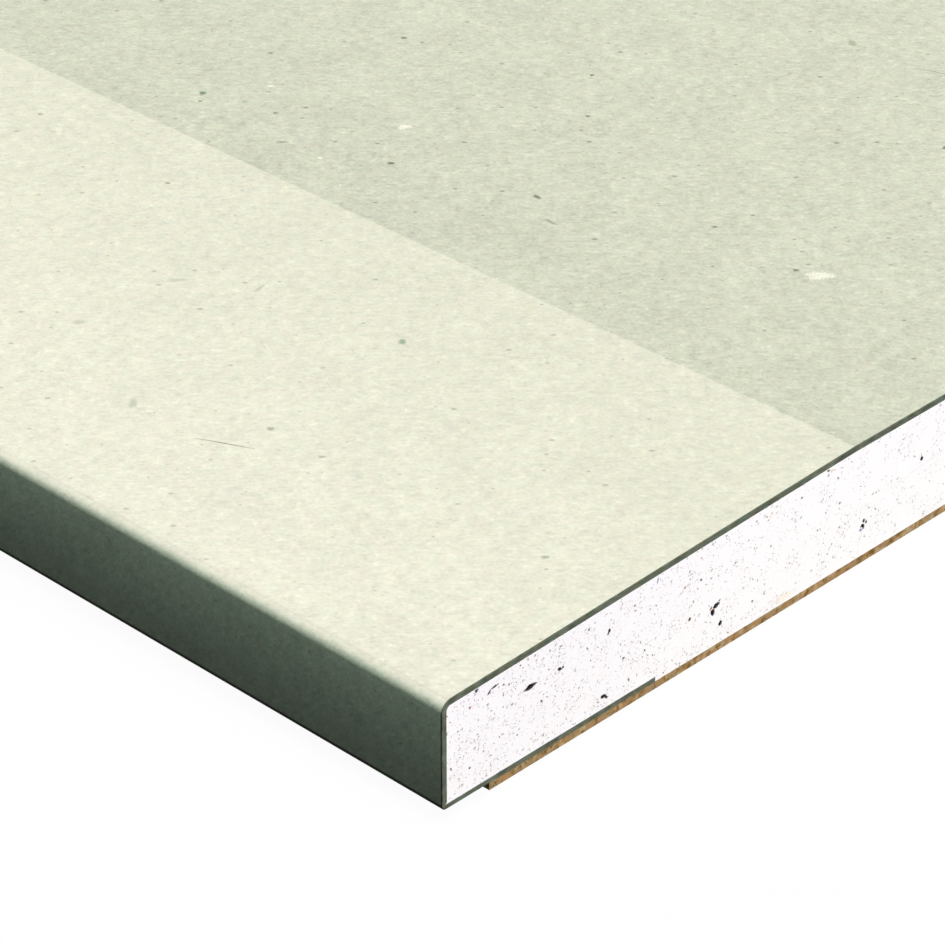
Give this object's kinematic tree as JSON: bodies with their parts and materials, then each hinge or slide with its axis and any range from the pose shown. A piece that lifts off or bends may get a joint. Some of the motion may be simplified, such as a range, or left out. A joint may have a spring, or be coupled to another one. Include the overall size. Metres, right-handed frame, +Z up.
{
  "type": "drywall sheet",
  "caption": "Flat gypsum board with paper faces, tapered paper-wrapped long edges and plain cut ends.",
  "frame": {"origin": "under the middle of the board, on the surface that its back lies on", "axes": "+X along the board, +Y across it, +Z up out of its front face"},
  "size_m": [2.4, 1.2, 0.0125],
  "materials": {
    "gypsum": "matt",
    "face_paper": "matt",
    "back_paper": "matt"
  },
  "bodies": {
    "root": {"gypsum_core": "gypsum", "face_paper": "face_paper", "back_paper": "back_paper"}
  },
  "joints": []
}
